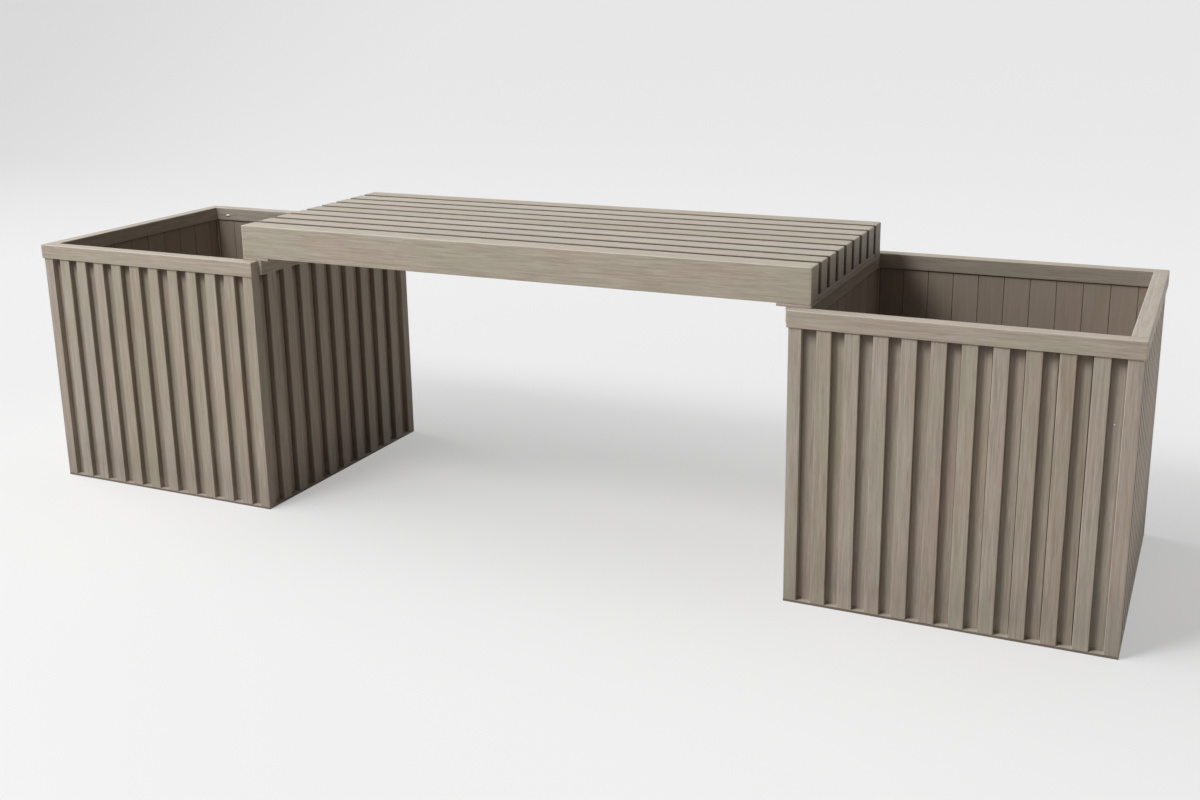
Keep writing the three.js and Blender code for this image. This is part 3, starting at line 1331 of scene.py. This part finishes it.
@dataclass(frozen=True)
class Studio:
    """A pale floor without end, lit broadly from the left and from high in front."""

    lamps: tuple[Lamp, ...] = (
        Lamp("broad_left", LampKind.SUN, (-1.0, -0.2, 0.6), 1.2, 0.75),
        Lamp("left_front", LampKind.SUN, (-1.0, -0.9, 1.2), 0.4, 0.11),
        Lamp("top", LampKind.SUN, (0.0, 0.2, 1.0), 1.2, 0.23),
        Lamp("high_front", LampKind.AREA, (-1.25, -2.4, 3.2), 1.2, 0.53, (0.0, 0.0, 0.3)),
        Lamp("right_end", LampKind.SPOT, (2.7, 0.1, 0.24), 0.15, 0.32, (0.89, 0.0, 0.2), 24.0),
    )
    backdrop: float = 0.86
    glow_front: float = 0.362
    glow_middle: float = 0.025
    glow_far: float = 0.105
    glow_left: float = -0.10
    # Painted shade: the share of the glow left under a planter
    glow_ground: float = 0.04
    glow_place: Triple = (-0.2, -0.95, 0.0)
    middle_span: Pair = (0.2, 0.95)
    far_span: Pair = (0.9, 3.4)
    left_span: Pair = (0.5, 1.1)
    back_span: Pair = (1.2, 3.5)
    left_from: float = 2.0
    least_beyond: float = 0.1
    planter_place: float = 0.6675
    planter_span: Pair = (0.19, 0.21)
    floor_share: float = 0.45
    floor_bounce: Colour = (0.55, 0.50, 0.455)
    floor_half: float = 150.0

    def seen(self, w: Wiring) -> Socket:
        """1 for rays from the camera, reflections and glass, and 0 for light.

        Args:
            w: The wiring to add to.

        Returns:
            The value.
        """
        rays = w.node("LightPath").outputs
        both = w.math("MAXIMUM", rays["Is Camera Ray"], rays["Is Glossy Ray"])
        return w.math("MAXIMUM", both, rays["Is Transmission Ray"])

    def glow(self, w: Wiring) -> Socket:
        """How pale the floor looks by itself: less in front and far to the left, and dark under a planter, a
        painted shade in the gaps of its floor.

        Args:
            w: The wiring to add to.

        Returns:
            The strength.
        """
        place = w.node("NewGeometry").outputs["Position"]
        x, y, _ = w.node("SeparateXYZ", {0: place}).outputs
        apart = w.node("VectorMath", {0: place, 1: self.glow_place}, operation="DISTANCE").outputs["Value"]
        middle = w.span(apart, *self.middle_span, self.glow_front, self.glow_front + self.glow_middle)
        far = w.math("ADD", middle, w.span(apart, *self.far_span, 0.0, self.glow_far))
        beyond = w.math("MINIMUM", w.math("MULTIPLY_ADD", y, -1.0, -self.left_from), -self.least_beyond)
        leftward = w.span(w.math("DIVIDE", x, beyond), *self.left_span)
        corner = w.math("MULTIPLY", leftward, w.span(y, *self.back_span))
        across = w.math("ABSOLUTE", w.math("SUBTRACT", w.math("ABSOLUTE", x), self.planter_place))
        beside = w.math("MAXIMUM", across, w.math("ABSOLUTE", y))
        free = w.span(beside, *self.planter_span, self.glow_ground, 1.0)
        return w.math("MULTIPLY", w.math("MULTIPLY_ADD", corner, self.glow_left, far), free)

    def world(self) -> None:
        """The world round the studio: pale where it is seen, and dark as a lamp."""
        made = bpy.data.worlds.new("studio")
        made.use_nodes = True
        w = Wiring(made.node_tree)
        strength = w.math("MULTIPLY", self.seen(w), self.backdrop)
        w.surface(w.node("Background", {"Strength": strength, "Color": (1.0,) * 4}), "World")
        bpy.context.scene.world = made

    def floor(self) -> Piece:
        """The pale floor, which keeps the shadow and throws little light back up.

        Returns:
            The floor.
        """
        half = self.floor_half
        mesh = bpy.data.meshes.new("studio_floor")
        corners = [(-half, -half, 0), (half, -half, 0), (half, half, 0), (-half, half, 0)]
        mesh.from_pydata(corners, [], [(0, 1, 2, 3)])
        material, w = new_material("studio_floor")
        shaded = w.node("BsdfDiffuse", {"Color": (*(self.floor_share,) * 3, 1.0)})
        glow = w.node("Emission", {"Strength": self.glow(w)})
        bounce = w.node("BsdfDiffuse", {"Color": (*self.floor_bounce, 1.0)})
        pale = w.node("AddShader", {0: shaded.outputs[0], 1: glow.outputs[0]})
        w.surface(w.node("MixShader", {0: self.seen(w), 1: bounce.outputs[0], 2: pale.outputs[0]}))
        mesh.materials.append(material)
        made = placed("studio_floor", mesh)
        return made


# The painted shade in the seat's gaps is a browner dark than that in the walls' recesses, and the rails'
# clouds are hardly pink
SEAT_SHADE_COLOUR: Colour = (0.085, 0.062, 0.043)
RIM_BLUSH: Colour = (0.398, 0.338, 0.280)


def wood_finishes() -> Finishes:
    """Makes the materials of the timbers, one for each slot of the record.

    Returns:
        The materials by slot.
    """
    finishes = (
        (Slot.SEAT, WoodFinish("seat_taupe_stain", soiled=SEAT_SHADE_COLOUR, value=1.03, band_share=0.36)),
        (Slot.RIM, WoodFinish("rim_taupe_stain", blush=RIM_BLUSH, value=1.07, band_share=0.25)),
        (Slot.WALL, WoodFinish("wall_taupe_stain")),
        (Slot.INNER, WoodFinish("inner_taupe_stain", roughness=0.66)),
        (Slot.BEARER, WoodFinish("bearer_taupe_stain", roughness=0.64)),
    )
    return {slot: finish.build() for slot, finish in finishes}


def report(title: str, pieces: Iterable[Piece]) -> None:
    """Logs each piece of a sub-assembly.

    Args:
        title: The sub-assembly's name.
        pieces: Its pieces.
    """
    for piece in pieces:
        log.info("%s: %s, %d faces", title, piece.name, len(piece.data.polygons))


def main() -> None:
    """Builds the studio and the bench, and reports each piece."""
    logging.basicConfig(level=logging.INFO, format="%(name)s %(message)s")
    bpy.context.scene.view_settings.view_transform = "Standard"
    PhotoCamera().build()
    studio = Studio()
    for lamp in studio.lamps:
        lamp.build()
    studio.world()
    studio.floor()
    finishes = wood_finishes()
    steel = SteelFinish().build()
    for name, shifts in FRONT_SHIFTS.items():
        report(f"{name} planter", Planter(name, shifts).build(finishes))
    report("seat", Seat().build(finishes))
    report("hardware", Hardware().build(steel))


if __name__ == "__main__":
    main()
